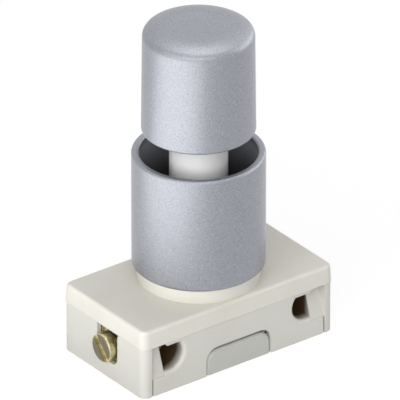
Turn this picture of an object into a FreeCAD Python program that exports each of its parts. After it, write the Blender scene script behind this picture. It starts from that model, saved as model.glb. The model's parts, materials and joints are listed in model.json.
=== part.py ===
import FreeCAD, Part
import math
import os
import Sketcher
from FreeCAD import Placement, Rotation, Vector

# Push-on push-off lamp switch, in millimetres. +Z points up out of the button, the wire entries face -Y,
# the terminal screws stand at both ends of X, and the origin is the middle of the underside.

SIZES = [
    # Housing
    ("body_length", 33.0, "housing along X"),
    ("body_width", 18.5, "housing along Y"),
    ("base_height", 7.7, "underside to the parting line"),
    ("lid_height", 2.7, "parting line to the top of the lid"),
    ("lid_overhang", 0.08, "lid outline beyond the base outline"),
    ("lid_draft", 3.0, "lean of the sides of the lid, degrees"),
    ("corner_radius", 1.1, "upright corners of the base"),
    ("lid_edge_radius", 0.5, "rounding along the top of the lid"),
    ("floor_thickness", 1.4, "floor of the base"),
    ("side_wall", 1.1, "long walls"),
    ("end_wall", 0.7, "short walls"),
    ("lid_plate", 1.5, "top plate of the lid"),
    ("mark_radius", 1.25, "ejector marks on the underside"),
    ("mark_depth", 0.08, "ejector marks on the underside"),
    ("mark_inset", 4.0, "ejector marks to the sides of the base"),
    # Wire entries in the front wall, measured in from each end
    ("entry_inset", 4.67, "end of the housing to the axis of the round"),
    ("entry_drop", 2.25, "parting line down to the axis of the round"),
    ("entry_radius", 2.3, "round of the entry"),
    ("entry_flat", 0.774, "height of the flat top as a share of the radius"),
    ("entry_mouth", 0.6, "rounding of the mouth"),
    ("lip_slant", 0.3, "slanted end of the lip above the entry"),
    ("lip_end", 0.12, "blunt end of the lip below the parting line"),
    ("pillar_width", 1.5, "end of the housing to the flank and the slit"),
    ("flank_end", 3.8, "end of the housing to the straight side of the entry"),
    ("flank_ledge", 0.24, "depth of the flank at its foot"),
    ("flank_depth", 2.0, "depth of the flank at the parting line"),
    ("ledge_radius", 0.18, "rounding of the ledge below the flank"),
    ("guide_wall", 1.0, "wall beside the wire channel behind the entry"),
    ("slit_width", 0.26, "thin slit below the flank"),
    ("slit_depth", 1.0, "thin slit into the wall"),
    # Snap fastening of the lid
    ("window_width", 11.25, "snap window"),
    ("window_height", 4.15, "snap window above the underside"),
    ("window_radius", 1.9, "upper corners of the snap window"),
    ("tab_gap_side", 0.1, "snap tab to the sides of its window"),
    ("tab_shift", 0.07, "snap tab off the middle of its window"),
    ("tab_gap_top", 0.6, "snap tab to the top of its window"),
    ("tab_recess", 0.1, "snap tab behind the outer face"),
    ("tab_bevel", 0.32, "bevel around the snap tab"),
    ("leg_thickness", 1.0, "snap leg"),
    ("leg_gap", 0.1, "snap leg to the wall beside it"),
    # Neck, sleeve and button
    ("collar_height", 2.15, "collar above the lid"),
    ("collar_inset", 0.67, "collar inside the guard sleeve"),
    ("sleeve_inset", 0.01, "guard sleeve inside the sides of the lid"),
    ("sleeve_wall", 1.07, "guard sleeve wall"),
    ("sleeve_height", 17.35, "guard sleeve"),
    ("rim_radius", 0.35, "rounding of the sleeve rim"),
    ("neck_gap", 0.08, "neck to sleeve"),
    ("neck_wall", 1.4, "neck wall"),
    ("neck_web", 1.8, "guide plate at the top of the neck"),
    ("stem_radius", 4.09, "plunger stem"),
    ("guide_gap", 0.1, "stem to its guide, and key to its groove"),
    ("cap_gap", 0.29, "button cap to the bore of the sleeve"),
    ("cap_taper", 0.16, "button cap narrower at the closed end"),
    ("cap_height", 16.15, "button cap"),
    ("cap_lift", 3.45, "sleeve rim to the released cap"),
    ("cap_wall", 1.3, "button cap wall"),
    ("cap_top_edge", 1.2, "corner of the closed end"),
    ("dome_radius", 5.9, "soft rim of the closed end"),
    ("dome_slope", 28.0, "soft rim where it meets the corner, degrees"),
    ("dish_slope", 6.0, "finger dish at its edge, degrees"),
    ("cap_foot_edge", 0.35, "rounding of the open end"),
    ("boss_recess", 2.0, "open end of the cap to its inner boss"),
    ("boss_wall", 1.6, "inner boss of the cap"),
    ("spigot_radius", 3.1, "plunger spigot in the cap"),
    ("spigot_length", 8.0, "plunger spigot in the cap"),
    # Ratchet drive
    ("stroke", 5.0, "travel of the button"),
    ("ramp_angle", 70.0, "turn of the rotor in one stroke, degrees"),
    ("peg_lead", 11.0, "ramp crest behind the peg at rest, degrees"),
    ("peg_width", 1.5, "drive peg"),
    ("peg_inset", 0.15, "drive peg inside the edge of the crown"),
    ("peg_depth", 1.3, "drive peg outwards"),
    ("peg_gap", 0.4, "drive peg above the ramp crest at rest"),
    ("peg_slope", 1.0, "rise of the peg tip over its width"),
    ("flange_side", 0.37, "plunger flange to the bore of the neck"),
    ("flange_thickness", 1.5, "plunger flange"),
    ("flange_gap", 0.25, "pressed flange above the rotor"),
    ("key_reach", 0.85, "plunger key beyond the flange"),
    ("key_width", 2.4, "plunger key"),
    ("stop_gap", 0.05, "released flange below the guide plate"),
    ("crown_gap", 0.2, "peg to the sides of the crown"),
    ("crown_inset", 0.35, "rotor crown inside the edge of the flange"),
    ("disc_thickness", 0.8, "rotor disc"),
    ("cam_width", 9.0, "square cam across its flats"),
    ("cam_height", 2.0, "square cam"),
    ("cam_radius", 1.0, "corners of the square cam"),
    ("pin_radius", 1.5, "pivot pin"),
    ("pin_gap", 0.05, "rotor bore to the pivot pin"),
    ("pin_seat", 2.2, "pivot pin in its boss"),
    ("pin_length", 11.4, "pivot pin"),
    ("boss_radius", 2.6, "pivot boss"),
    ("boss_height", 1.5, "pivot boss above the floor"),
    ("seat_gap", 0.05, "rotor above its boss"),
    ("washer_gap", 0.8, "thrust washer to the crown"),
    ("washer_thickness", 0.3, "thrust washer"),
    ("coil_radius", 2.75, "return spring to the middle of its wire"),
    ("wire_radius", 0.25, "return spring wire"),
    ("coil_turns", 6.5, "return spring"),
    ("coil_gap", 0.3, "return spring to the bore of the plunger"),
    ("spring_length", 18.0, "return spring at rest"),
    ("leaf_thickness", 0.3, "detent leaf"),
    ("leaf_height", 1.35, "detent leaf"),
    ("leaf_length", 16.0, "detent leaf"),
    ("leaf_gap", 0.08, "detent leaf to the cam and to its holders"),
    ("holder_length", 1.1, "holder of the detent leaf"),
    ("holder_wall", 0.95, "holder of the detent leaf"),
    # Contacts and terminals
    ("strip_thickness", 0.8, "contact strip"),
    ("strip_width", 3.0, "contact strip"),
    ("strip_gap", 0.1, "contact strip to the ribs"),
    ("contact_radius", 1.1, "contact rivet head"),
    ("contact_head", 0.4, "contact rivet head"),
    ("contact_round", 0.2, "rounding of the contact rivet head"),
    ("contact_gap", 0.08, "moving contacts above the fixed ones"),
    ("bridge_width", 4.4, "contact bridge"),
    ("bridge_inset", 0.15, "end of the contact bridge inside the edge of the rotor crown"),
    ("bridge_thickness", 0.5, "contact bridge"),
    ("block_length", 6.35, "terminal block along X"),
    ("block_width", 9.0, "terminal block along Y"),
    ("block_height", 5.0, "terminal block"),
    ("block_edge", 0.25, "bevel of the terminal block"),
    ("block_gap", 0.05, "terminal block to the parts around it"),
    ("wire_inset", 5.3, "end of the housing to the wire bore"),
    ("wire_bore", 1.3, "wire bore radius"),
    ("rib_width", 1.0, "ribs around the terminal block"),
    ("rib_length", 1.5, "ribs beside the terminal block"),
    ("rib_height", 4.6, "ribs above the floor"),
    ("screw_axis", 4.85, "terminal screw above the underside"),
    ("screw_shift", 0.88, "terminal screw in front of the middle"),
    ("screw_proud", 1.12, "screw head beyond the end wall"),
    ("screw_radius", 1.25, "terminal screw"),
    ("screw_length", 2.7, "terminal screw under its head"),
    ("screw_tip", 0.25, "bevel at the tip of the terminal screw"),
    ("screw_gap", 0.05, "terminal screw to its hole"),
    ("head_radius", 2.1, "cheese head"),
    ("head_height", 1.6, "cheese head"),
    ("head_edge", 0.3, "rounding of the cheese head"),
    ("head_slot", 1.1, "driver slot width"),
    ("head_slot_depth", 0.55, "driver slot depth"),
    ("head_slot_turn", 42.0, "driver slot from upright, degrees"),
    ("head_gap", 0.23, "cheese head to the opening around it"),
    ("opening_corner", 1.3, "lower corners of the screw opening"),
    ("opening_flare", 0.4, "bevel at the front upper corner of the screw opening"),
]

HALF_LENGTH = "(Dims.body_length / 2)"
HALF_WIDTH = "(Dims.body_width / 2)"
CAVITY_X = f"({HALF_LENGTH} - Dims.end_wall)"
CAVITY_Y = f"({HALF_WIDTH} - Dims.side_wall)"
LID_TOP = "(Dims.base_height + Dims.lid_height)"
PLATE_FOOT = f"({LID_TOP} - Dims.lid_plate)"
SLEEVE_FOOT = f"({LID_TOP} + Dims.collar_height)"
SLEEVE_TOP = f"({SLEEVE_FOOT} + Dims.sleeve_height)"
SLEEVE_RADIUS = f"({HALF_WIDTH} + Dims.lid_overhang - Dims.sleeve_inset)"
SLEEVE_BORE = f"({SLEEVE_RADIUS} - Dims.sleeve_wall)"
COLLAR_RADIUS = f"({SLEEVE_RADIUS} - Dims.collar_inset)"
CAP_RADIUS = f"({SLEEVE_BORE} - Dims.cap_gap)"
CAP_TOP_RADIUS = f"({CAP_RADIUS} - Dims.cap_taper)"
CAP_FOOT = f"({SLEEVE_TOP} + Dims.cap_lift)"
CAP_TOP = f"({CAP_FOOT} + Dims.cap_height)"
STEM_TOP = f"({CAP_FOOT} + Dims.boss_recess)"
SPIGOT_TOP = f"({STEM_TOP} + Dims.spigot_length)"
NECK_RADIUS = f"({SLEEVE_BORE} - Dims.neck_gap)"
NECK_BORE = f"({NECK_RADIUS} - Dims.neck_wall)"
FLANGE_RADIUS = f"({NECK_BORE} - Dims.flange_side)"
CROWN_EDGE = f"({FLANGE_RADIUS} - Dims.crown_inset)"
PEG_INNER = f"({CROWN_EDGE} - Dims.peg_inset - Dims.peg_depth)"
CROWN_BORE = f"({PEG_INNER} - Dims.crown_gap)"
BRIDGE_END = f"({CROWN_EDGE} - Dims.bridge_inset)"
CONTACT_REACH = f"({BRIDGE_END} - Dims.contact_radius)"
PIVOT_TOP = "(Dims.floor_thickness + Dims.boss_height)"
ROTOR_FOOT = f"({PIVOT_TOP} + Dims.seat_gap)"
CAM_TOP = f"({ROTOR_FOOT} + Dims.cam_height)"
DISC_TOP = f"({CAM_TOP} + Dims.disc_thickness)"
CROWN_TOP = f"({DISC_TOP} + Dims.stroke)"
ROTOR_BORE = "(Dims.pin_radius + Dims.pin_gap)"
PEG_TIP = f"({CROWN_TOP} + Dims.peg_gap)"
FLANGE_FOOT = f"({CROWN_TOP} + Dims.stroke + Dims.flange_gap)"
FLANGE_TOP = f"({FLANGE_FOOT} + Dims.flange_thickness)"
GUIDE_FOOT = f"({FLANGE_TOP} + Dims.stop_gap)"
NECK_TOP = f"({GUIDE_FOOT} + Dims.neck_web)"
WASHER_TOP = f"({DISC_TOP} + Dims.washer_thickness)"
SPRING_TOP = f"({WASHER_TOP} + Dims.spring_length)"
SPRING_BORE = "(Dims.coil_radius + Dims.wire_radius + Dims.coil_gap)"
KEY_REACH = f"({FLANGE_RADIUS} + Dims.key_reach)"
STRIP_TOP = "(Dims.floor_thickness + Dims.strip_thickness)"
BLOCK_TOP = f"({STRIP_TOP} + Dims.block_height)"
BLOCK_END = f"({CAVITY_X} - Dims.block_gap)"
BLOCK_START = f"({BLOCK_END} - Dims.block_length)"
BLOCK_SIDE = "(Dims.block_width / 2)"
RIB_SIDE = f"({BLOCK_SIDE} + Dims.block_gap)"
RIB_TOP = "(Dims.floor_thickness + Dims.rib_height)"
WIRE_X = f"({HALF_LENGTH} - Dims.wire_inset)"
LEAF_Y = "(Dims.cam_width / 2 + Dims.leaf_gap)"
LEAF_FOOT = f"({ROTOR_FOOT} + Dims.bridge_thickness + Dims.leaf_gap)"
LEAF_BACK = f"({LEAF_Y} + Dims.leaf_thickness)"
HOLDER_END = "(Dims.leaf_length / 2 + Dims.leaf_gap)"
HOLDER_START = f"({HOLDER_END} - Dims.holder_length)"
ENTRY_AXIS = "(Dims.base_height - Dims.entry_drop)"
ENTRY_TOP = f"({ENTRY_AXIS} + Dims.entry_flat * Dims.entry_radius)"
FLANK_FOOT = f"({ENTRY_AXIS} - Dims.entry_radius - Dims.entry_mouth)"
ENTRY_SIDE = f"({HALF_LENGTH} - Dims.flank_end)"
PILLAR = f"({HALF_LENGTH} - Dims.pillar_width)"
TAB_FACE = f"({HALF_WIDTH} - Dims.tab_recess)"
LEG_FACE = f"({CAVITY_Y} - Dims.leg_gap)"
HEAD_FOOT = f"({HALF_LENGTH} + Dims.screw_proud - Dims.head_height)"

doc = FreeCAD.newDocument("LampSwitch")
sheet = doc.addObject("Spreadsheet::Sheet", "Dims")
for row, (alias, value, note) in enumerate(SIZES, 1):
    sheet.set(f"A{row}", note)
    sheet.set(f"B{row}", str(value))
    sheet.setAlias(f"B{row}", alias)
doc.recompute()
nodes = []


def number(formula):
    """Present value of a formula on the sheet."""
    return float(sheet.evalExpression(formula))


def new_body(label):
    """Empty body for one piece of the switch."""
    body = doc.addObject("PartDesign::Body", label)
    body.Label = label
    nodes.append(body)
    return body


def origin_part(body, role):
    """Origin plane or axis of a body."""
    return next(item for item in body.Origin.OriginFeatures if item.Role == role)


def new_sketch(body, name, plane, lift="0", turn_axis=None, turn="0"):
    """Sketch on an origin plane, lifted along its normal and turned about one of the plane's own axes."""
    sketch = body.newObject("Sketcher::SketchObject", name)
    sketch.AttachmentSupport = [(origin_part(body, plane), "")]
    sketch.MapMode = "FlatFace"
    sketch.setExpression("AttachmentOffset.Base.z", lift)
    if turn_axis:
        sketch.AttachmentOffset = Placement(Vector(0, 0, number(lift)), Rotation(turn_axis, number(turn)))
        sketch.setExpression("AttachmentOffset.Rotation.Angle", turn)
    return sketch


def constrain(sketch, kind, size, *where):
    """Dimension that follows a formula."""
    index = sketch.addConstraint(Sketcher.Constraint(kind, *where, number(size)))
    sketch.setExpression(f"Constraints[{index}]", size)


def arc_between(start, end, radius, turn):
    """Arc of less than half a circle; turn is 1 for anticlockwise and -1 for clockwise."""
    first, last = (start, end) if turn > 0 else (end, start)
    chord = last - first
    height = math.sqrt(max(radius ** 2 - chord.Length ** 2 / 4, 0.0))
    side = Vector(-chord.y, chord.x, 0).normalize()
    centre = (first + last) * 0.5 + side * height
    from_angle = math.atan2(first.y - centre.y, first.x - centre.x)
    to_angle = math.atan2(last.y - centre.y, last.x - centre.x)
    return Part.ArcOfCircle(Part.Circle(centre, Vector(0, 0, 1), radius), from_angle, to_angle)


def outline(sketch, corners):
    """Closed outline; a corner (x, y, radius, turn) makes the edge after it an arc."""
    places = [Vector(number(corner[0]), number(corner[1]), 0) for corner in corners]
    edges = []
    for corner, start, end in zip(corners, places, places[1:] + places[:1]):
        if len(corner) == 2:
            edges.append((sketch.addGeometry(Part.LineSegment(start, end), False), 1, 2))
            continue
        arc = arc_between(start, end, number(corner[2]), corner[3])
        first, last = (1, 2) if corner[3] > 0 else (2, 1)
        edges.append((sketch.addGeometry(arc, False), first, last))
    for (edge, _, last), (follower, first, _) in zip(edges, edges[1:] + edges[:1]):
        sketch.addConstraint(Sketcher.Constraint("Coincident", edge, last, follower, first))
    for corner, (edge, first, _) in zip(corners, edges):
        constrain(sketch, "DistanceX", corner[0], -1, 1, edge, first)
        constrain(sketch, "DistanceY", corner[1], -1, 1, edge, first)
        if len(corner) > 2:
            constrain(sketch, "Radius", corner[2], edge)


def rectangle(sketch, x_from, y_from, x_to, y_to):
    """Rectangle between two corners."""
    outline(sketch, [(x_from, y_from), (x_to, y_from), (x_to, y_to), (x_from, y_to)])


def rounded_rectangle(sketch, half_x, half_y, radius):
    """Rectangle about the origin with round corners."""
    outline(sketch, [
        (f"{radius} - {half_x}", f"-{half_y}"),
        (f"{half_x} - {radius}", f"-{half_y}", radius, 1),
        (half_x, f"{radius} - {half_y}"),
        (half_x, f"{half_y} - {radius}", radius, 1),
        (f"{half_x} - {radius}", half_y),
        (f"{radius} - {half_x}", half_y, radius, 1),
        (f"-{half_x}", f"{half_y} - {radius}"),
        (f"-{half_x}", f"{radius} - {half_y}", radius, 1),
    ])


def circle(sketch, x, y, radius):
    """Full circle."""
    centre = Vector(number(x), number(y), 0)
    edge = sketch.addGeometry(Part.Circle(centre, Vector(0, 0, 1), number(radius)), False)
    constrain(sketch, "DistanceX", x, -1, 1, edge, 3)
    constrain(sketch, "DistanceY", y, -1, 1, edge, 3)
    constrain(sketch, "Radius", radius, edge)


def add_feature(body, kind, name, grows):
    """Finish a feature and make sure that it adds or removes material."""
    before = body.Shape.Volume if not body.Shape.isNull() else 0.0
    feature = body.newObject(kind, name)

    def finish():
        doc.recompute()
        change = feature.Shape.Volume - before
        if change * grows <= 0:
            raise RuntimeError(f"{name} changed the volume by {change:.3f}")
        return feature

    return feature, finish


def pad(body, name, sketch, length, reverse=False):
    """Raise a sketch along its normal, or against it."""
    feature, finish = add_feature(body, "PartDesign::Pad", name, 1)
    feature.Profile = sketch
    feature.Reversed = reverse
    feature.setExpression("Length", length)
    return finish()


def pocket(body, name, sketch, depth, reverse=False):
    """Sink a sketch against its normal, or along it."""
    feature, finish = add_feature(body, "PartDesign::Pocket", name, -1)
    feature.Profile = sketch
    feature.Reversed = reverse
    feature.setExpression("Length", depth)
    return finish()


def revolve(body, name, sketch):
    """Turn a profile once around the upright axis of its sketch."""
    feature, finish = add_feature(body, "PartDesign::Revolution", name, 1)
    feature.Profile = sketch
    feature.ReferenceAxis = (sketch, ["V_Axis"])
    feature.Angle = 360
    return finish()


def mirror(body, name, originals, plane):
    """Repeat features on the other side of an origin plane."""
    grows = -1 if originals[0].TypeId == "PartDesign::Pocket" else 1
    feature, finish = add_feature(body, "PartDesign::Mirrored", name, grows)
    feature.Originals = originals
    feature.MirrorPlane = (origin_part(body, plane), [""])
    body.Tip = feature
    return finish()


def around(body, name, original, count, grows):
    """Repeat a feature around the upright axis."""
    feature, finish = add_feature(body, "PartDesign::PolarPattern", name, grows)
    feature.Originals = [original]
    feature.Axis = (origin_part(body, "Z_Axis"), [""])
    feature.Angle = 360
    feature.Occurrences = count
    body.Tip = feature
    return finish()


def dress(body, kind, name, parent, size, chosen, grows=-1):
    """Fillet or chamfer on the chosen edges."""
    feature, finish = add_feature(body, kind, name, grows)
    names = [f"Edge{index}" for index, edge in enumerate(parent.Shape.Edges, 1) if chosen(edge)]
    feature.Base = (parent, names)
    feature.setExpression("Radius" if kind == "PartDesign::Fillet" else "Size", size)
    return finish()


def flat_at(axis, place):
    """Choose the edges that lie in one plane across an axis."""
    def chosen(edge):
        box = edge.BoundBox
        low = getattr(box, f"{axis}Min")
        high = getattr(box, f"{axis}Max")
        return abs(low - number(place)) < 1e-4 and abs(high - number(place)) < 1e-4
    return chosen


# Terminal base: open box with screw openings, wire entries, snap windows and ribs
base = new_body("terminal_base")
sketch = new_sketch(base, "BaseOutline", "XY_Plane")
rounded_rectangle(sketch, HALF_LENGTH, HALF_WIDTH, "Dims.corner_radius")
pad(base, "BaseBlock", sketch, "Dims.base_height")
sketch = new_sketch(base, "BaseCavityOutline", "XY_Plane", "Dims.base_height")
rectangle(sketch, f"-{CAVITY_X}", f"-{CAVITY_Y}", CAVITY_X, CAVITY_Y)
pocket(base, "BaseCavity", sketch, "Dims.base_height - Dims.floor_thickness")

sketch = new_sketch(base, "PivotBossOutline", "XY_Plane", "Dims.floor_thickness")
circle(sketch, "0", "0", "Dims.boss_radius")
pad(base, "PivotBoss", sketch, "Dims.boss_height")
sketch = new_sketch(base, "PivotHoleOutline", "XY_Plane", PIVOT_TOP)
circle(sketch, "0", "0", "Dims.pin_radius")
pocket(base, "PivotHole", sketch, "Dims.pin_seat")

sketch = new_sketch(base, "RibOutlines", "XY_Plane", "Dims.floor_thickness")
strip_side = "(Dims.strip_width / 2 + Dims.strip_gap)"
inner_rib = f"({BLOCK_START} - Dims.block_gap)"
for along in ("1", "-1"):
    for across in ("1", "-1"):
        rectangle(sketch, f"{along} * ({CAVITY_X} - Dims.rib_length)", f"{across} * {RIB_SIDE}",
                  f"{along} * ({CAVITY_X} + Dims.end_wall / 2)", f"{across} * ({RIB_SIDE} + Dims.rib_width)")
        rectangle(sketch, f"{along} * ({inner_rib} - Dims.rib_width)", f"{across} * {strip_side}",
                  f"{along} * {inner_rib}", f"{across} * {RIB_SIDE}")
pad(base, "TerminalRibs", sketch, "Dims.rib_height")
entry_middle = f"({HALF_LENGTH} - Dims.entry_inset)"
sketch = new_sketch(base, "CornerOutlines", "XY_Plane", "Dims.floor_thickness")
for along in ("1", "-1"):
    rectangle(sketch, f"{along} * ({entry_middle} - Dims.entry_radius - Dims.guide_wall)",
              f"Dims.side_wall / 2 - {HALF_WIDTH}",
              f"{along} * ({CAVITY_X} + Dims.end_wall / 2)", f"-{RIB_SIDE}")
pad(base, "SolidCorners", sketch, "Dims.base_height - Dims.floor_thickness")

sketch = new_sketch(base, "HolderOutlines", "XY_Plane", "Dims.floor_thickness")
holder_front = f"({LEAF_Y} - Dims.leaf_gap - Dims.holder_wall)"
holder_back = f"({LEAF_BACK} + Dims.leaf_gap + Dims.holder_wall)"
for along in ("1", "-1"):
    rectangle(sketch, f"{along} * {HOLDER_START}", holder_front,
              f"{along} * ({HOLDER_END} + Dims.holder_wall / 2)", holder_back)
holder_top = f"({LEAF_FOOT} + Dims.leaf_height)"
pad(base, "LeafHolders", sketch, f"{holder_top} - Dims.floor_thickness")
sketch = new_sketch(base, "HolderSlots", "XY_Plane", holder_top)
for along in ("1", "-1"):
    rectangle(sketch, f"{along} * {HOLDER_START}", f"{LEAF_Y} - Dims.leaf_gap",
              f"{along} * {HOLDER_END}", f"{LEAF_BACK} + Dims.leaf_gap")
pocket(base, "HolderSlot", sketch, "Dims.leaf_height")

opening = "(Dims.head_radius + Dims.head_gap)"
opening_front = f"(-Dims.screw_shift - {opening})"
opening_back = f"({opening} - Dims.screw_shift)"
opening_foot = f"(Dims.screw_axis - {opening})"
sketch = new_sketch(base, "ScrewOpeningOutline", "YZ_Plane", HALF_LENGTH)
outline(sketch, [
    (f"{opening_front} - Dims.opening_flare", "Dims.base_height"),
    (opening_front, "Dims.base_height - Dims.opening_flare"),
    (opening_front, f"{opening_foot} + Dims.opening_corner", "Dims.opening_corner", 1),
    (f"{opening_front} + Dims.opening_corner", opening_foot),
    (f"{opening_back} - Dims.opening_corner", opening_foot, "Dims.opening_corner", 1),
    (opening_back, f"{opening_foot} + Dims.opening_corner"),
    (opening_back, "Dims.base_height"),
])
screw_opening = pocket(base, "ScrewOpening", sketch, "Dims.end_wall")
mirror(base, "ScrewOpenings", [screw_opening], "YZ_Plane")

entry_foot = f"({ENTRY_AXIS} - Dims.entry_radius)"
sketch = new_sketch(base, "EntryOutline", "XZ_Plane", HALF_WIDTH)
outline(sketch, [
    (ENTRY_SIDE, entry_foot),
    (entry_middle, entry_foot, "Dims.entry_radius", -1),
    (f"{entry_middle} - Dims.entry_radius", ENTRY_AXIS, "Dims.entry_radius", -1),
    (f"{entry_middle} - Dims.entry_radius * sqrt(1 - Dims.entry_flat^2)", ENTRY_TOP),
    (f"{ENTRY_SIDE} - Dims.lip_slant", ENTRY_TOP),
    (ENTRY_SIDE, "Dims.base_height - Dims.lip_end"),
])
entry_hole = pocket(base, "EntryHole", sketch, f"{HALF_WIDTH} - {RIB_SIDE}")
entry_holes = mirror(base, "EntryHoles", [entry_hole], "YZ_Plane")
front_face = flat_at("Y", f"-{HALF_WIDTH}")
entry_floor = flat_at("Z", entry_foot)
dress(base, "PartDesign::Fillet", "EntryMouths", entry_holes, "Dims.entry_mouth",
      lambda edge: front_face(edge) and (edge.Curve.TypeId == "Part::GeomCircle" or entry_floor(edge))
      and edge.BoundBox.ZMax < number(ENTRY_TOP) + 0.01 and edge.BoundBox.ZMin > number(FLANK_FOOT))
sketch = new_sketch(base, "FlankOutline", "YZ_Plane", PILLAR)
outline(sketch, [
    (f"-{HALF_WIDTH}", f"{FLANK_FOOT} - Dims.ledge_radius", "Dims.ledge_radius", -1),
    (f"Dims.ledge_radius - {HALF_WIDTH}", FLANK_FOOT),
    (f"Dims.flank_ledge - {HALF_WIDTH}", FLANK_FOOT),
    (f"Dims.flank_depth - {HALF_WIDTH}", "Dims.base_height"),
    (f"-{HALF_WIDTH}", "Dims.base_height"),
])
flank = pocket(base, "EntryFlank", sketch, "Dims.flank_end - Dims.pillar_width")
sketch = new_sketch(base, "SlitOutline", "XZ_Plane", HALF_WIDTH)
rectangle(sketch, f"{PILLAR} - Dims.slit_width", "0", PILLAR, FLANK_FOOT)
slit = pocket(base, "EntrySlit", sketch, "Dims.slit_depth")
mirror(base, "OtherFlank", [flank, slit], "YZ_Plane")


def arch_outline(sketch, middle, half, top, radius):
    """Upright outline from the underside with round upper corners."""
    outline(sketch, [
        (f"{middle} - {half}", "0"),
        (f"{middle} - {half}", f"{top} - {radius}", radius, -1),
        (f"{middle} - {half} + {radius}", top),
        (f"{middle} + {half} - {radius}", top, radius, -1),
        (f"{middle} + {half}", f"{top} - {radius}"),
        (f"{middle} + {half}", "0"),
    ])


sketch = new_sketch(base, "WindowOutline", "XZ_Plane", HALF_WIDTH)
arch_outline(sketch, "0", "(Dims.window_width / 2)", "Dims.window_height", "Dims.window_radius")
window = pocket(base, "SnapWindow", sketch, "Dims.side_wall + 2 * Dims.leg_gap")
mirror(base, "SnapWindows", [window], "XZ_Plane")
sketch = new_sketch(base, "EjectorMarkOutlines", "XY_Plane")
for along in ("1", "-1"):
    for across in ("1", "-1"):
        circle(sketch, f"{along} * ({HALF_LENGTH} - Dims.mark_inset)",
               f"{across} * ({HALF_WIDTH} - Dims.mark_inset)", "Dims.mark_radius")
pocket(base, "EjectorMarks", sketch, "Dims.mark_depth", True)

# Housing cover: lid with a collar and guide neck, two snap legs and two hold-down pads
cover = new_body("housing_cover")
sketch = new_sketch(cover, "LidOutline", "XY_Plane", "Dims.base_height")
rounded_rectangle(sketch, f"({HALF_LENGTH} + Dims.lid_overhang)", f"({HALF_WIDTH} + Dims.lid_overhang)",
                  "(Dims.corner_radius + Dims.lid_overhang)")
lid = pad(cover, "LidBlock", sketch, "Dims.lid_height")
lid.setExpression("TaperAngle", "-Dims.lid_draft")
doc.recompute()
dress(cover, "PartDesign::Fillet", "LidEdge", lid, "Dims.lid_edge_radius", flat_at("Z", LID_TOP))
sketch = new_sketch(cover, "LidCavityOutline", "XY_Plane", "Dims.base_height")
rectangle(sketch, f"-{CAVITY_X}", f"-{CAVITY_Y}", CAVITY_X, CAVITY_Y)
pocket(cover, "LidCavity", sketch, "Dims.lid_height - Dims.lid_plate", True)
sketch = new_sketch(cover, "NeckHoleOutline", "XY_Plane", LID_TOP)
circle(sketch, "0", "0", NECK_BORE)
pocket(cover, "NeckHole", sketch, "Dims.lid_plate")
sketch = new_sketch(cover, "NeckProfile", "XZ_Plane")
outline(sketch, [
    (NECK_BORE, PLATE_FOOT),
    (COLLAR_RADIUS, PLATE_FOOT),
    (COLLAR_RADIUS, SLEEVE_FOOT),
    (NECK_RADIUS, SLEEVE_FOOT),
    (NECK_RADIUS, f"{NECK_TOP} - Dims.rim_radius"),
    (f"{NECK_RADIUS} - Dims.rim_radius", NECK_TOP),
    ("Dims.stem_radius + Dims.guide_gap", NECK_TOP),
    ("Dims.stem_radius + Dims.guide_gap", GUIDE_FOOT),
    (NECK_BORE, GUIDE_FOOT),
])
revolve(cover, "Neck", sketch)
sketch = new_sketch(cover, "KeyGrooveOutlines", "XY_Plane", GUIDE_FOOT)
groove_side = "(Dims.key_width / 2 + Dims.guide_gap)"
for along in ("1", "-1"):
    rectangle(sketch, f"{along} * ({NECK_BORE} - Dims.neck_wall / 2)", f"-{groove_side}",
              f"{along} * ({KEY_REACH} + Dims.guide_gap)", groove_side)
pocket(cover, "KeyGrooves", sketch, f"{GUIDE_FOOT} - {PLATE_FOOT}")

tab_half = "(Dims.window_width / 2 - Dims.tab_gap_side)"
sketch = new_sketch(cover, "LegOutlines", "XY_Plane", PLATE_FOOT)
for across in ("1", "-1"):
    rectangle(sketch, f"Dims.leg_gap - {tab_half}", f"{across} * ({LEG_FACE} - Dims.leg_thickness)",
              f"{tab_half} - Dims.leg_gap", f"{across} * {LEG_FACE}")
pad(cover, "SnapLegs", sketch, f"{PLATE_FOOT} - Dims.floor_thickness - Dims.leg_gap", True)
sketch = new_sketch(cover, "TabOutline", "XZ_Plane", TAB_FACE)
arch_outline(sketch, "Dims.tab_shift", tab_half, "(Dims.window_height - Dims.tab_gap_top)",
             "(Dims.window_radius - Dims.tab_gap_side)")
tab = pad(cover, "SnapTab", sketch, f"{TAB_FACE} - {LEG_FACE}", True)
tabs = mirror(cover, "SnapTabs", [tab], "XZ_Plane")
sketch = new_sketch(cover, "HoldDownOutlines", "XY_Plane", PLATE_FOOT)
for along in ("1", "-1"):
    rectangle(sketch, f"{along} * ({BLOCK_START} + Dims.rib_width)", f"-{BLOCK_SIDE} + Dims.rib_width",
              f"{along} * ({BLOCK_END} - Dims.rib_width)", f"{BLOCK_SIDE} - Dims.rib_width")
pads = pad(cover, "HoldDownPads", sketch, f"{PLATE_FOOT} - {BLOCK_TOP} - Dims.block_gap", True)
faces = (flat_at("Y", f"-{TAB_FACE}"), flat_at("Y", TAB_FACE))
dress(cover, "PartDesign::Chamfer", "TabBevel", pads, "Dims.tab_bevel",
      lambda edge: any(chosen(edge) for chosen in faces) and edge.BoundBox.ZMax > number("Dims.tab_bevel"))

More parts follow.
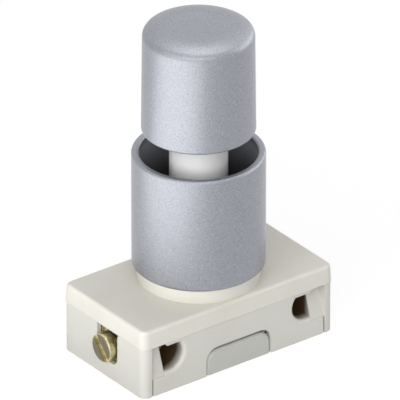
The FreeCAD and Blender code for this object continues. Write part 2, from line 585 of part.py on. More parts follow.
# Guard sleeve around the neck
sleeve = new_body("guard_sleeve")
sketch = new_sketch(sleeve, "SleeveProfile", "XZ_Plane")
outline(sketch, [
    (SLEEVE_BORE, SLEEVE_FOOT),
    (f"{SLEEVE_RADIUS} - Dims.rim_radius", SLEEVE_FOOT, "Dims.rim_radius", 1),
    (SLEEVE_RADIUS, f"{SLEEVE_FOOT} + Dims.rim_radius"),
    (SLEEVE_RADIUS, f"{SLEEVE_TOP} - Dims.rim_radius", "Dims.rim_radius", 1),
    (f"{SLEEVE_RADIUS} - Dims.rim_radius", SLEEVE_TOP),
    (f"{SLEEVE_BORE} + Dims.rim_radius", SLEEVE_TOP, "Dims.rim_radius", 1),
    (SLEEVE_BORE, f"{SLEEVE_TOP} - Dims.rim_radius"),
])
revolve(sleeve, "SleeveTube", sketch)

# Button cap with a soft rim, a shallow finger dish and an inner boss for the plunger
cap = new_body("button_cap")
dome_edge = f"({CAP_TOP_RADIUS} - Dims.cap_top_edge * (1 - sin(Dims.dome_slope)))"
dome_foot = f"({CAP_TOP} - Dims.dome_radius * (1 - cos(Dims.dome_slope)))"
dish_edge = f"({dome_edge} - Dims.dome_radius * (sin(Dims.dome_slope) + sin(Dims.dish_slope)))"
dish_radius = f"({dish_edge} / sin(Dims.dish_slope))"
boss_edge = "(Dims.spigot_radius + Dims.boss_wall)"
sketch = new_sketch(cap, "CapProfile", "XZ_Plane")
outline(sketch, [
    ("0", SPIGOT_TOP),
    ("Dims.spigot_radius", SPIGOT_TOP),
    ("Dims.spigot_radius", STEM_TOP),
    (boss_edge, STEM_TOP),
    (boss_edge, f"{CAP_TOP} - Dims.cap_wall"),
    (f"{CAP_TOP_RADIUS} - Dims.cap_wall", f"{CAP_TOP} - Dims.cap_wall"),
    (f"{CAP_RADIUS} - Dims.cap_wall", CAP_FOOT),
    (f"{CAP_RADIUS} - Dims.cap_foot_edge", CAP_FOOT, "Dims.cap_foot_edge", 1),
    (CAP_RADIUS, f"{CAP_FOOT} + Dims.cap_foot_edge"),
    (CAP_TOP_RADIUS, f"{dome_foot} - Dims.cap_top_edge * cos(Dims.dome_slope)", "Dims.cap_top_edge", 1),
    (dome_edge, dome_foot, "Dims.dome_radius", 1),
    (dish_edge, f"{CAP_TOP} - Dims.dome_radius * (1 - cos(Dims.dish_slope))", dish_radius, -1),
    ("0", f"{CAP_TOP} - (Dims.dome_radius + {dish_radius}) * (1 - cos(Dims.dish_slope))"),
])
revolve(cap, "CapShell", sketch)

# Plunger: stem, keyed flange and four drive pegs
plunger = new_body("plunger")
sketch = new_sketch(plunger, "StemProfile", "XZ_Plane")
outline(sketch, [
    (SPRING_BORE, FLANGE_FOOT),
    (FLANGE_RADIUS, FLANGE_FOOT),
    (FLANGE_RADIUS, FLANGE_TOP),
    ("Dims.stem_radius", FLANGE_TOP),
    ("Dims.stem_radius", STEM_TOP),
    ("Dims.spigot_radius", STEM_TOP),
    ("Dims.spigot_radius", SPIGOT_TOP),
    ("0", SPIGOT_TOP),
    ("0", SPRING_TOP),
    (SPRING_BORE, SPRING_TOP),
])
revolve(plunger, "Stem", sketch)
sketch = new_sketch(plunger, "KeyOutlines", "XY_Plane", FLANGE_FOOT)
for along in ("1", "-1"):
    rectangle(sketch, f"{along} * ({FLANGE_RADIUS} - Dims.key_reach)", "-Dims.key_width / 2",
              f"{along} * {KEY_REACH}", "Dims.key_width / 2")
pad(plunger, "Keys", sketch, "Dims.flange_thickness")
sketch = new_sketch(plunger, "PegOutline", "YZ_Plane", PEG_INNER)
peg_root = f"({FLANGE_FOOT} + Dims.flange_thickness / 2)"
outline(sketch, [
    ("-Dims.peg_width / 2", PEG_TIP),
    ("Dims.peg_width / 2", f"{PEG_TIP} + Dims.peg_slope * Dims.peg_width"),
    ("Dims.peg_width / 2", peg_root),
    ("-Dims.peg_width / 2", peg_root),
])
peg = pad(plunger, "DrivePeg", sketch, "Dims.peg_depth")
around(plunger, "DrivePegs", peg, 4, 1)

# Cam rotor: square detent cam, disc and crown with four helical ramps
rotor = new_body("cam_rotor")
sketch = new_sketch(rotor, "CamOutline", "XY_Plane", ROTOR_FOOT)
rounded_rectangle(sketch, "(Dims.cam_width / 2)", "(Dims.cam_width / 2)", "Dims.cam_radius")
circle(sketch, "0", "0", ROTOR_BORE)
pad(rotor, "SquareCam", sketch, "Dims.cam_height")
sketch = new_sketch(rotor, "CrownProfile", "XZ_Plane")
outline(sketch, [
    (ROTOR_BORE, CAM_TOP),
    (CROWN_EDGE, CAM_TOP),
    (CROWN_EDGE, CROWN_TOP),
    (CROWN_BORE, CROWN_TOP),
    (CROWN_BORE, DISC_TOP),
    (ROTOR_BORE, DISC_TOP),
])
revolve(rotor, "Crown", sketch)
sketch = new_sketch(rotor, "RampSection", "XZ_Plane", "0", Vector(0, 1, 0),
                    "-Dims.ramp_angle - Dims.peg_lead")
rectangle(sketch, f"{CROWN_BORE} - Dims.crown_gap", DISC_TOP,
          f"{CROWN_EDGE} + Dims.crown_gap", f"{CROWN_TOP} + Dims.peg_gap")
ramp, finish = add_feature(rotor, "PartDesign::SubtractiveHelix", "Ramp", -1)
ramp.Profile = sketch
ramp.ReferenceAxis = (sketch, ["V_Axis"])
ramp.Mode = "height-turns-angle"
ramp.setExpression("Height", "Dims.stroke")
ramp.setExpression("Turns", "Dims.ramp_angle / 360")
finish()
around(rotor, "Ramps", ramp, 4, -1)
sketch = new_sketch(rotor, "BridgeSlotOutline", "XY_Plane", ROTOR_FOOT)
rectangle(sketch, "-Dims.bridge_width / 2", "-Dims.cam_width", "Dims.bridge_width / 2", "Dims.cam_width")
pocket(rotor, "BridgeSlot", sketch, "Dims.bridge_thickness", True)

# Contact bridge under the rotor and its two rivet heads
bridge = new_body("contact_bridge")
sketch = new_sketch(bridge, "BridgeOutline", "XY_Plane", ROTOR_FOOT)
rectangle(sketch, "-Dims.bridge_width / 2", f"-{BRIDGE_END}", "Dims.bridge_width / 2", BRIDGE_END)
circle(sketch, "0", "0", ROTOR_BORE)
pad(bridge, "BridgeStrip", sketch, "Dims.bridge_thickness")
bridge_rivets = new_body("bridge_contacts")
sketch = new_sketch(bridge_rivets, "BridgeRivetOutlines", "XY_Plane", f"{ROTOR_FOOT} - Dims.contact_head")
circle(sketch, "0", CONTACT_REACH, "Dims.contact_radius")
circle(sketch, "0", f"-{CONTACT_REACH}", "Dims.contact_radius")
heads = pad(bridge_rivets, "BridgeRivetHeads", sketch, "Dims.contact_head")
dress(bridge_rivets, "PartDesign::Fillet", "BridgeRivetRound", heads, "Dims.contact_round",
      flat_at("Z", f"{ROTOR_FOOT} - Dims.contact_head"))

# Pivot pin, thrust washer, return spring and detent leaf
pin = new_body("pivot_pin")
sketch = new_sketch(pin, "PinOutline", "XY_Plane", f"{PIVOT_TOP} - Dims.pin_seat")
circle(sketch, "0", "0", "Dims.pin_radius")
pin_rod = pad(pin, "PinRod", sketch, "Dims.pin_length")
dress(pin, "PartDesign::Chamfer", "PinTip", pin_rod, "Dims.rim_radius",
      flat_at("Z", f"{PIVOT_TOP} - Dims.pin_seat + Dims.pin_length"))
washer = new_body("thrust_washer")
sketch = new_sketch(washer, "WasherOutline", "XY_Plane", DISC_TOP)
circle(sketch, "0", "0", f"{CROWN_BORE} - Dims.washer_gap")
circle(sketch, "0", "0", ROTOR_BORE)
pad(washer, "WasherRing", sketch, "Dims.washer_thickness")
spring = new_body("return_spring")
sketch = new_sketch(spring, "WireOutline", "XZ_Plane")
circle(sketch, "Dims.coil_radius", f"{WASHER_TOP} + Dims.wire_radius", "Dims.wire_radius")
coil, finish = add_feature(spring, "PartDesign::AdditiveHelix", "Coil", 1)
coil.Profile = sketch
coil.ReferenceAxis = (sketch, ["V_Axis"])
coil.Mode = "height-turns-angle"
coil.setExpression("Height", "Dims.spring_length - 2 * Dims.wire_radius")
coil.setExpression("Turns", "Dims.coil_turns")
finish()
leaf = new_body("detent_leaf")
sketch = new_sketch(leaf, "LeafOutline", "XY_Plane", LEAF_FOOT)
rectangle(sketch, "-Dims.leaf_length / 2", LEAF_Y, "Dims.leaf_length / 2", LEAF_BACK)
pad(leaf, "LeafStrip", sketch, "Dims.leaf_height")


def terminal(side, along):
    """Contact strip, rivet, terminal block and screw of one end; along is the sign of X there."""
    strip = new_body(f"{side}_contact_strip")
    sketch = new_sketch(strip, f"{side}StripOutline", "XY_Plane", "Dims.floor_thickness")
    strip_start = f"({CONTACT_REACH} - Dims.contact_radius - Dims.strip_gap)"
    rectangle(sketch, f"{along} * {strip_start}", "-Dims.strip_width / 2",
              f"{along} * {BLOCK_END}", "Dims.strip_width / 2")
    pad(strip, f"{side}Strip", sketch, "Dims.strip_thickness")

    rivet = new_body(f"{side}_contact_rivet")
    sketch = new_sketch(rivet, f"{side}RivetOutline", "XY_Plane", STRIP_TOP)
    circle(sketch, f"{along} * {CONTACT_REACH}", "0", "Dims.contact_radius")
    rivet_top = f"({ROTOR_FOOT} - Dims.contact_head - Dims.contact_gap)"
    head = pad(rivet, f"{side}RivetHead", sketch, f"{rivet_top} - {STRIP_TOP}")
    dress(rivet, "PartDesign::Fillet", f"{side}RivetRound", head, "Dims.contact_round",
          flat_at("Z", rivet_top))

    block = new_body(f"{side}_terminal_block")
    sketch = new_sketch(block, f"{side}BlockOutline", "XY_Plane", STRIP_TOP)
    rectangle(sketch, f"{along} * {BLOCK_START}", f"-{BLOCK_SIDE}", f"{along} * {BLOCK_END}", BLOCK_SIDE)
    brick = pad(block, f"{side}Block", sketch, "Dims.block_height")
    dress(block, "PartDesign::Chamfer", f"{side}BlockBevel", brick, "Dims.block_edge",
          flat_at("X", f"{along} * {BLOCK_END}"))
    sketch = new_sketch(block, f"{side}WireBoreOutline", "XZ_Plane", BLOCK_SIDE)
    circle(sketch, f"{along} * {WIRE_X}", "Dims.screw_axis", "Dims.wire_bore")
    pocket(block, f"{side}WireBore", sketch, "Dims.block_width")
    sketch = new_sketch(block, f"{side}ScrewHoleOutline", "YZ_Plane", f"{along} * {BLOCK_END}")
    circle(sketch, "-Dims.screw_shift", "Dims.screw_axis", "Dims.screw_radius + Dims.screw_gap")
    pocket(block, f"{side}ScrewHole", sketch, f"{BLOCK_END} - {WIRE_X}", along < 0)

    screw = new_body(f"{side}_terminal_screw")
    sketch = new_sketch(screw, f"{side}ScrewProfile", "XZ_Plane")
    outline(sketch, [
        ("0", "-Dims.screw_length"),
        ("Dims.screw_radius - Dims.screw_tip", "-Dims.screw_length"),
        ("Dims.screw_radius", "Dims.screw_tip - Dims.screw_length"),
        ("Dims.screw_radius", "0"),
        ("Dims.head_radius", "0"),
        ("Dims.head_radius", "Dims.head_height - Dims.head_edge", "Dims.head_edge", 1),
        ("Dims.head_radius - Dims.head_edge", "Dims.head_height"),
        ("0", "Dims.head_height"),
    ])
    revolve(screw, f"{side}ScrewRod", sketch)
    sketch = new_sketch(screw, f"{side}SlotOutline", "XY_Plane", "Dims.head_height", Vector(0, 0, 1),
                        "Dims.head_slot_turn")
    rectangle(sketch, "-2 * Dims.head_radius", "-Dims.head_slot / 2",
              "2 * Dims.head_radius", "Dims.head_slot / 2")
    pocket(screw, f"{side}DriverSlot", sketch, "Dims.head_slot_depth")
    screw.Placement = Placement(Vector(0, 0, 0), Rotation(Vector(0, 1, 0), along * 90))
    screw.setExpression("Placement.Base.x", f"{along} * {HEAD_FOOT}")
    screw.setExpression("Placement.Base.y", "-Dims.screw_shift")
    screw.setExpression("Placement.Base.z", "Dims.screw_axis")


terminal("right", 1)
terminal("left", -1)

# Every object must be up to date and every piece a valid solid before anything is written
doc.recompute()
for item in doc.Objects:
    if "Invalid" in item.State or "Error" in item.State:
        raise RuntimeError(f"{item.Name} is {item.State}")
os.makedirs("parts", exist_ok=True)
for node in nodes:
    if node.Shape.isNull() or not node.Shape.isValid() or not node.Shape.Solids:
        raise RuntimeError(f"{node.Label} is not a valid solid")
    node.Shape.exportStep(f"parts/{node.Label}.step")
    box = node.Shape.BoundBox
    print(node.Label, len(node.Shape.Solids), f"{node.Shape.Volume:.2f}",
          f"{box.XMin:.2f} {box.YMin:.2f} {box.ZMin:.2f} {box.XMax:.2f} {box.YMax:.2f} {box.ZMax:.2f}")
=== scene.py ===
import json
import math
import bpy
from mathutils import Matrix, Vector


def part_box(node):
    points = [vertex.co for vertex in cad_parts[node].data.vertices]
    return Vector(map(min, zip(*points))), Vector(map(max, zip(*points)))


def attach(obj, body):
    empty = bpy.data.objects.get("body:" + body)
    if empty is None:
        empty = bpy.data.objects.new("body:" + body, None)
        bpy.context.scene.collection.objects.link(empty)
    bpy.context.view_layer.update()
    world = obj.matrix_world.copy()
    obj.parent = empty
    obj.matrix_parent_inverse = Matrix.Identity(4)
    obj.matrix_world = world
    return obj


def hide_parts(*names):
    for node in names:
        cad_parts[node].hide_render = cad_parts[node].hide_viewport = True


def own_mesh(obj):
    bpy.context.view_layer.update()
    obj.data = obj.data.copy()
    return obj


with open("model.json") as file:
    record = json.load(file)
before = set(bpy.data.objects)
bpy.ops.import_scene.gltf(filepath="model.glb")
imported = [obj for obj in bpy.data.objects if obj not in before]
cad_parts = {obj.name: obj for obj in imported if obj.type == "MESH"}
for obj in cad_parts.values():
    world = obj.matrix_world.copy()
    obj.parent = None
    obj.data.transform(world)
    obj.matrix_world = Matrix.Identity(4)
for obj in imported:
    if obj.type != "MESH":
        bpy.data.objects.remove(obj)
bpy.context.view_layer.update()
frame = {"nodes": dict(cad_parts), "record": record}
nodes = frame["nodes"]
MM = 0.001

# Guard sleeve: its bore, its upper rim, and the depths below the rim where the painted shade inside it
# starts and is full
SLEEVE_BORE = 8.25 * MM
SLEEVE_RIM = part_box("guard_sleeve")[1][2]
SLEEVE_SHADE_STARTS = 0.3 * MM
SLEEVE_SHADE_FULL = 7.0 * MM
# Base: its front face, its parting line with the lid, and a wire entry's foot and its edge beside the flank
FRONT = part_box("terminal_base")[0][1]
PARTING = 7.7 * MM
ENTRY_FOOT = 2.9 * MM
ENTRY_EDGE = 12.78 * MM
# Depths behind the front face where the painted shade in a wire entry starts, is full, starts to fade and
# has ended
ENTRY_SHADE_STARTS = 0.2 * MM
ENTRY_SHADE_FULL = 1.8 * MM
ENTRY_SHADE_FADES = 7.0 * MM
ENTRY_SHADE_ENDS = 8.0 * MM
# Distance from the middle to the face of a terminal screw
SCREW_FACE = -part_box("left_terminal_screw")[0][0]
# Lacquer flakes are about 0.05 mm wide and too fine to show, so they are drawn coarser.
FLAKE_WIDTH = 0.13 * MM
# Lacquer flows into a faint orange peel.
PEEL_WIDTH = 1.6 * MM
# Drawing lines are about 0.02 mm apart and too fine to show, so they are drawn coarser.
LINE_SPACING = 0.12 * MM
TARNISH_WIDTH = 0.7 * MM
# Stretch of a pattern that gives drawing lines along one axis, or none
LINES_ALONG_X = (0.15, 1.0, 1.0)
LINES_ALONG_Z = (1.0, 1.0, 0.2)
NO_LINES = (1.0, 1.0, 1.0)
# Colour sockets of a Mix node
MIX_FROM, MIX_TO, MIX_RESULT = 6, 7, 2


def linear(colour):
    """Linear RGBA of an sRGB hex colour."""
    parts = [int(colour[i:i + 2], 16) / 255 for i in (1, 3, 5)]
    return tuple(p / 12.92 if p <= 0.04045 else ((p + 0.055) / 1.055) ** 2.4 for p in parts) + (1.0,)


def add(tree, kind, sockets, **settings):
    """Node with its settings; each socket gets a value or the output that feeds it."""
    made = tree.nodes.new(kind)
    for name, value in settings.items():
        setattr(made, name, value)
    for name, value in sockets.items():
        if isinstance(value, bpy.types.NodeSocket):
            tree.links.new(value, made.inputs[name])
        else:
            made.inputs[name].default_value = value
    return made


def new_material(name):
    """Empty material and its node tree."""
    material = bpy.data.materials.new(name)
    material.use_nodes = True
    material.node_tree.nodes.clear()
    return material, material.node_tree


def tinted(tree, pattern, dark, light, start=0.3, end=0.7):
    """Colour that goes from dark to light while a pattern's value goes from start to end."""
    share = add(tree, "ShaderNodeMapRange", {"Value": pattern, "From Min": start, "From Max": end})
    tint = add(tree, "ShaderNodeMix", {"Factor": share.outputs["Result"], MIX_FROM: linear(dark),
                                       MIX_TO: linear(light)}, data_type="RGBA")
    return tint.outputs[MIX_RESULT]


def finish_surface(tree, sockets, edge, relief, strength, depth):
    """Shader with its sockets set, edges that look rounded, and a relief of some strength and depth."""
    soft_edges = add(tree, "ShaderNodeBevel", {"Radius": edge}, samples=4)
    bumps = add(tree, "ShaderNodeBump", {"Height": relief, "Strength": strength, "Distance": depth,
                                         "Normal": soft_edges.outputs["Normal"]})
    shader = add(tree, "ShaderNodeBsdfPrincipled", {**sockets, "Normal": bumps.outputs["Normal"]})
    add(tree, "ShaderNodeOutputMaterial", {"Surface": shader.outputs["BSDF"]})


# Zones of a piece that look different from the rest of it


def zone(tree, ramps):
    """1 where every value is past the end of its ramp, 0 where one has not reached the start."""
    share = 1.0
    for value, start, end in ramps:
        ramp = add(tree, "ShaderNodeMapRange", {"Value": value, "From Min": start, "From Max": end})
        both = add(tree, "ShaderNodeMath", {0: ramp.outputs["Result"], 1: share}, operation="MULTIPLY")
        share = both.outputs["Value"]
    return share


def deep_in_sleeve(tree, place):
    """1 deep in the guard sleeve, where shade is painted, 0 at its rim and outside."""
    parts = add(tree, "ShaderNodeSeparateXYZ", {"Vector": place}).outputs
    flat = add(tree, "ShaderNodeCombineXYZ", {"X": parts["X"], "Y": parts["Y"]}).outputs["Vector"]
    reach = add(tree, "ShaderNodeVectorMath", {0: flat}, operation="LENGTH").outputs["Value"]
    return zone(tree, (
        (reach, SLEEVE_BORE + 0.2 * MM, SLEEVE_BORE + 0.02 * MM),
        (parts["Z"], SLEEVE_RIM - SLEEVE_SHADE_STARTS, SLEEVE_RIM - SLEEVE_SHADE_FULL)))


def painted_entry_shade(tree, place):
    """1 behind the front face, in the wire entries and the gaps there, where shade is painted, 0 on the
    outside.
    """
    parts = add(tree, "ShaderNodeSeparateXYZ", {"Vector": place}).outputs
    side = add(tree, "ShaderNodeMath", {0: parts["X"]}, operation="ABSOLUTE").outputs["Value"]
    return zone(tree, (
        (parts["Y"], FRONT + ENTRY_SHADE_STARTS, FRONT + ENTRY_SHADE_FULL),
        (parts["Y"], FRONT + ENTRY_SHADE_ENDS, FRONT + ENTRY_SHADE_FADES),
        (parts["Z"], ENTRY_FOOT, ENTRY_FOOT + 0.1 * MM),
        (side, ENTRY_EDGE, ENTRY_EDGE - 0.06 * MM)))


def below_lid(tree, place):
    """1 on the snap legs and tabs, 0 on the lid."""
    parts = add(tree, "ShaderNodeSeparateXYZ", {"Vector": place}).outputs
    return zone(tree, ((parts["Z"], PARTING - 0.1 * MM, PARTING - 0.3 * MM),))


def screw_faces(tree, place):
    """1 on the end face of a terminal screw, where a dark reflection is painted, 0 on its rim and in its
    slot.
    """
    parts = add(tree, "ShaderNodeSeparateXYZ", {"Vector": place}).outputs
    side = add(tree, "ShaderNodeMath", {0: parts["X"]}, operation="ABSOLUTE").outputs["Value"]
    return zone(tree, ((side, SCREW_FACE - 0.12 * MM, SCREW_FACE - 0.04 * MM),))


# Kinds of finish


def sprayed_lacquer(name, dark, light, sleeve_shade):
    """Lacquer with metal flakes on a moulding, which turns to a dark, dull painted shade deep in the guard
    sleeve.
    """
    material, tree = new_material(name)
    place = add(tree, "ShaderNodeTexCoord", {}).outputs["Object"]
    flakes = add(tree, "ShaderNodeTexNoise", {"Vector": place, "Scale": 1 / FLAKE_WIDTH, "Detail": 1.0})
    peel = add(tree, "ShaderNodeTexNoise", {"Vector": place, "Scale": 1 / PEEL_WIDTH, "Detail": 1.0})
    tint = tinted(tree, flakes.outputs["Fac"], dark, light, start=0.25, end=0.75)
    sleeve_shade_share = deep_in_sleeve(tree, place)
    colour = add(tree, "ShaderNodeMix", {"Factor": sleeve_shade_share, MIX_FROM: tint, MIX_TO: linear(sleeve_shade)},
                 data_type="RGBA")
    metal = add(tree, "ShaderNodeMapRange", {"Value": sleeve_shade_share, "From Max": 0.15, "To Min": 0.95,
                                             "To Max": 0.0})
    gloss = add(tree, "ShaderNodeMapRange", {"Value": flakes.outputs["Fac"], "To Min": 0.45, "To Max": 0.54})
    sockets = {"Base Color": colour.outputs[MIX_RESULT], "Roughness": gloss.outputs["Result"],
               "Metallic": metal.outputs["Result"], "Coat Weight": 0.3, "Coat Roughness": 0.2}
    finish_surface(tree, sockets, edge=0.15 * MM, relief=peel.outputs["Fac"], strength=0.05,
                   depth=0.05 * MM)
    return material


def moulded_plastic(name, dark, light, roughness, cloud, grain, zone_colour=None, where=None, scatter=0.0):
    """Moulded plastic: a slow colour drift as wide as cloud, a mould grain, and another colour in one zone.

    Light goes as deep as scatter into it.
    """
    material, tree = new_material(name)
    place = add(tree, "ShaderNodeTexCoord", {}).outputs["Object"]
    drift = add(tree, "ShaderNodeTexNoise", {"Vector": place, "Scale": 1 / cloud, "Detail": 3.0})
    texture = add(tree, "ShaderNodeTexNoise", {"Vector": place, "Scale": 1 / grain, "Detail": 2.0})
    colour = tinted(tree, drift.outputs["Fac"], dark, light)
    if zone_colour:
        colour = add(tree, "ShaderNodeMix", {"Factor": where(tree, place), MIX_FROM: colour,
                                             MIX_TO: linear(zone_colour)}, data_type="RGBA").outputs[MIX_RESULT]
    gloss = add(tree, "ShaderNodeMapRange", {"Value": texture.outputs["Fac"], "To Min": roughness - 0.06,
                                             "To Max": roughness + 0.06})
    sockets = {"Base Color": colour, "Roughness": gloss.outputs["Result"], "IOR": 1.5,
               "Subsurface Weight": 1.0 if scatter else 0.0, "Subsurface Scale": scatter,
               "Subsurface Radius": (1.0, 1.0, 1.0)}
    finish_surface(tree, sockets, edge=0.14 * MM, relief=texture.outputs["Fac"], strength=0.12,
                   depth=0.02 * MM)
    return material


def bare_metal(name, dark, light, tarnish, roughness, stretch, painted_reflection=None, where=None):
    """Drawn or turned metal: fine lines along one axis, blots of tarnish, and somewhere a darker colour for
    a painted reflection.
    """
    material, tree = new_material(name)
    place = add(tree, "ShaderNodeTexCoord", {}).outputs["Object"]
    along = add(tree, "ShaderNodeMapping", {"Vector": place, "Scale": stretch}).outputs["Vector"]
    lines = add(tree, "ShaderNodeTexNoise", {"Vector": along, "Scale": 1 / LINE_SPACING, "Detail": 2.0})
    tint = tinted(tree, lines.outputs["Fac"], dark, light)
    blots = add(tree, "ShaderNodeTexNoise", {"Vector": place, "Scale": 1 / TARNISH_WIDTH, "Detail": 4.0})
    cover = add(tree, "ShaderNodeMapRange", {"Value": blots.outputs["Fac"], "From Min": 0.48,
                                             "From Max": 0.68, "To Max": 0.8})
    colour = add(tree, "ShaderNodeMix", {"Factor": cover.outputs["Result"], MIX_FROM: tint,
                                         MIX_TO: linear(tarnish)}, data_type="RGBA").outputs[MIX_RESULT]
    if painted_reflection:
        colour = add(tree, "ShaderNodeMix", {"Factor": where(tree, place), MIX_FROM: colour,
                                             MIX_TO: linear(painted_reflection)}, data_type="RGBA").outputs[MIX_RESULT]
    gloss = add(tree, "ShaderNodeMapRange", {"Value": blots.outputs["Fac"], "To Min": roughness - 0.1,
                                             "To Max": roughness + 0.14})
    sockets = {"Base Color": colour, "Roughness": gloss.outputs["Result"], "Metallic": 1.0}
    finish_surface(tree, sockets, edge=0.12 * MM, relief=lines.outputs["Fac"], strength=0.15,
                   depth=0.01 * MM)
    return material


# Finishes of this switch

# Silver lacquer sprayed on moulded ABS: metal flakes in a clear coat give a broad soft highlight.
# Deep in the guard sleeve the colour turns to a dull, non-metal charcoal: painted shade.
silver_lacquer = sprayed_lacquer("silver_lacquer_on_abs", dark="#808289", light="#a5a7ae", sleeve_shade="#3c393d")
# Urea moulding compound of the cover: warm cream, even, with a dull sheen from the polished mould.
# Its snap legs and tabs, below the lid, are greyer.
cream_plastic = moulded_plastic(
    "cream_urea_moulding", dark="#d8d5cb", light="#dedcd3", roughness=0.42, cloud=9.0 * MM, grain=0.25 * MM,
    zone_colour="#c1c1bb", where=below_lid)
# Polyamide of the base: a cooler off-white than the cover. Its wire entries and the gaps behind its front
# face darken to brown inwards: painted shade.
base_plastic = moulded_plastic(
    "off_white_polyamide", dark="#d1cfc7", light="#d6d5ce", roughness=0.45, cloud=9.0 * MM, grain=0.25 * MM,
    zone_colour="#4a3826", where=painted_entry_shade)
# Acetal of the stem: clean white and waxy, because light goes a little way into it.
white_plastic = moulded_plastic(
    "white_acetal", dark="#f8f8f7", light="#fbfbfa", roughness=0.35, cloud=6.0 * MM, grain=0.3 * MM,
    scatter=0.6 * MM)
# Natural polyamide of the rotor: slightly grey and dull.
rotor_plastic = moulded_plastic(
    "natural_polyamide", dark="#d3d2cb", light="#dbdad4", roughness=0.5, cloud=4.0 * MM, grain=0.3 * MM)
# Drawn brass of the terminals: pale yellow with faint lines and brown tarnish.
brass = bare_metal(
    "drawn_brass", dark="#bfb48e", light="#dad0ac", tarnish="#8f7d50", roughness=0.3, stretch=LINES_ALONG_X)
# Turned brass of the screws: the slot and the rim keep the brass colour, and the face is darker, a painted
# reflection of dark surroundings.
screw_brass = bare_metal(
    "turned_brass", dark="#c1b992", light="#d4cca4", tarnish="#968c68", roughness=0.28,
    stretch=LINES_ALONG_X, painted_reflection="#787260", where=screw_faces)
# Silver contact rivets, pressed and bright.
contact_silver = bare_metal(
    "contact_silver", dark="#c8c7c2", light="#dcdbd7", tarnish="#a9a7a0", roughness=0.22, stretch=NO_LINES)
# Drawn spring steel: grey with lines along the height of the switch.
spring_steel = bare_metal(
    "spring_steel", dark="#8d8e90", light="#a9aaab", tarnish="#77777a", roughness=0.3, stretch=LINES_ALONG_Z)

FINISHES = {
    "silver_lacquer": silver_lacquer,
    "cream_plastic": cream_plastic,
    "white_plastic": white_plastic,
    "rotor_plastic": rotor_plastic,
    "brass": brass,
    "contact_silver": contact_silver,
    "spring_steel": spring_steel,
}
OWN_FINISHES = {
    "terminal_base": base_plastic,
    "left_terminal_screw": screw_brass,
    "right_terminal_screw": screw_brass,
}
for part in frame["record"]["subparts"]:
    finish = OWN_FINISHES.get(part["node"], FINISHES[part["material_slot"]])
    for slot in nodes[part["node"]].material_slots:
        slot.material = finish

# Return spring: a merged copy of the same coil, fixed to the housing, in place of the CAD spring

MERGE_GAP = 0.001 * MM
coil = bpy.data.objects.new("pressed_coil", nodes["return_spring"].data.copy())
bpy.context.scene.collection.objects.link(coil)
coil.data.materials.clear()
coil.data.materials.append(spring_steel)
bpy.ops.object.select_all(action="DESELECT")
coil.select_set(True)
bpy.context.view_layer.objects.active = coil
bpy.ops.object.mode_set(mode="EDIT")
bpy.ops.mesh.select_all(action="SELECT")
bpy.ops.mesh.remove_doubles(threshold=MERGE_GAP)
bpy.ops.object.mode_set(mode="OBJECT")
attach(coil, "housing")
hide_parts("return_spring")
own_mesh(coil)

# Studio: pale floor, white background, a floor panel for the silver and soft lamps around the switch

FLOOR_SIZE = 4.0
WHITE = linear("#ffffff")
# The lit floor keeps the shadow, and this share of white above 1 makes up for its grey.
WHITE_SHARE = 0.7
WHITE_LIFT = 1.22


def background_rays(tree):
    """1 for rays that show the background, also in a mirror or through glass, 0 for rays of light."""
    path = add(tree, "ShaderNodeLightPath", {}).outputs
    seen = add(tree, "ShaderNodeMath", {0: path["Is Camera Ray"], 1: path["Is Glossy Ray"]},
               operation="MAXIMUM")
    shown = add(tree, "ShaderNodeMath", {0: seen.outputs["Value"], 1: path["Is Transmission Ray"]},
                operation="MAXIMUM")
    return shown.outputs["Value"]


floor_material, tree = new_material("pale_studio_floor")
matt = add(tree, "ShaderNodeBsdfDiffuse", {"Color": linear("#d6d6d6")})
lift = add(tree, "ShaderNodeEmission", {"Color": WHITE, "Strength": WHITE_LIFT})
share = add(tree, "ShaderNodeMath", {0: background_rays(tree), 1: WHITE_SHARE}, operation="MULTIPLY")
both = add(tree, "ShaderNodeMixShader", {0: share.outputs[0], 1: matt.outputs[0], 2: lift.outputs[0]})
add(tree, "ShaderNodeOutputMaterial", {"Surface": both.outputs[0]})
bpy.ops.object.select_all(action="DESELECT")
bpy.ops.mesh.primitive_plane_add(size=FLOOR_SIZE, location=(0, 0, 0))
floor = bpy.context.active_object
floor.name = "studio_floor"
floor.data.materials.append(floor_material)

world = bpy.data.worlds.new("white_studio")
bpy.context.scene.world = world
world.use_nodes = True
tree = world.node_tree
tree.nodes.clear()
ambient = add(tree, "ShaderNodeBackground", {"Color": WHITE, "Strength": 0.05})
backdrop = add(tree, "ShaderNodeBackground", {"Color": WHITE, "Strength": 1.0})
mixed = add(tree, "ShaderNodeMixShader", {0: background_rays(tree), 1: ambient.outputs[0],
                                          2: backdrop.outputs[0]})
add(tree, "ShaderNodeOutputWorld", {"Surface": mixed.outputs[0]})

SUBJECT = Vector((0, 0, 25 * MM))
LAMP_DISTANCE = 0.6
UP = Vector((0, 0, 1))


def direction(azimuth, elevation):
    """Unit vector from the switch; azimuth 0 is in front and turns to +X."""
    turn, tilt = math.radians(azimuth), math.radians(elevation)
    return Vector((math.sin(turn) * math.cos(tilt), -math.cos(turn) * math.cos(tilt), math.sin(tilt)))


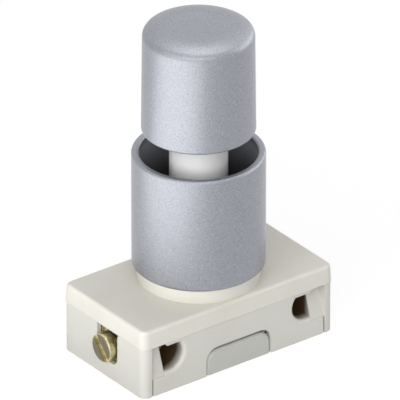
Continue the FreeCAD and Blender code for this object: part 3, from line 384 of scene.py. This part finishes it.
def studio_lamp(name, place, shine, width, height, power):
    """Area lamp at a place that shines in one direction."""
    light = bpy.data.lights.new(name, "AREA")
    light.shape = "RECTANGLE"
    light.size = width
    light.size_y = height
    light.energy = power
    lamp = bpy.data.objects.new(name, light)
    bpy.context.scene.collection.objects.link(lamp)
    lamp.location = place
    lamp.rotation_euler = shine.to_track_quat("-Z", "Y").to_euler()
    return lamp


def soft_box(name, azimuth, elevation, width, height, power, distance=LAMP_DISTANCE):
    """Lamp some way off that faces the switch."""
    towards = direction(azimuth, elevation)
    return studio_lamp(name, SUBJECT + towards * distance, -towards, width, height, power)


# A light panel lies on the floor at the left and makes the upright highlight on the silver.
PANEL_AZIMUTH = -79
PANEL_REACH = 117 * MM
PANEL_HEIGHT = 1 * MM
panel_place = direction(PANEL_AZIMUTH, 0) * PANEL_REACH + UP * PANEL_HEIGHT
studio_lamp("floor_panel", panel_place, shine=UP, width=0.15, height=0.15, power=0.155)
# Most of the front light leaves no mirror image, which would burn out the cap's top seen from behind.
# Its lamp stands a little behind the other one, because lamps in one plane hide each other.
WASH_SETBACK = 0.02
FRONT_LIGHT = {"azimuth": -55, "elevation": 26, "width": 1.0, "height": 0.38}
front_wash = soft_box("front_wash", **FRONT_LIGHT, power=3.0, distance=LAMP_DISTANCE + WASH_SETBACK)
front_wash.visible_glossy = False
soft_box("front_softbox", **FRONT_LIGHT, power=1.8)
soft_box("right_fill", azimuth=80, elevation=20, width=0.7, height=0.4, power=1.3)
soft_box("top_fill", azimuth=143, elevation=85, width=0.45, height=0.45, power=1.25)

# Camera at the angle of the photograph: a long lens far away, so uprights stay parallel

AZIMUTH = -37.08
ELEVATION = 29.03
DISTANCE = 1.875
AIM_RIGHT = 0.19 * MM
AIM_DOWN = 2.63 * MM
back = direction(AZIMUTH, ELEVATION)
right = direction(AZIMUTH + 90, 0)
aim = SUBJECT + right * AIM_RIGHT - back.cross(right) * AIM_DOWN
camera_data = bpy.data.cameras.new("photo_camera")
camera_data.sensor_width = 36.0
camera_data.lens = 1222.0
camera = bpy.data.objects.new("photo_camera", camera_data)
bpy.context.scene.collection.objects.link(camera)
camera.location = aim + back * DISTANCE
camera.rotation_euler = (-back).to_track_quat("-Z", "Y").to_euler()
bpy.context.scene.camera = camera
bpy.context.scene.view_settings.view_transform = "Standard"
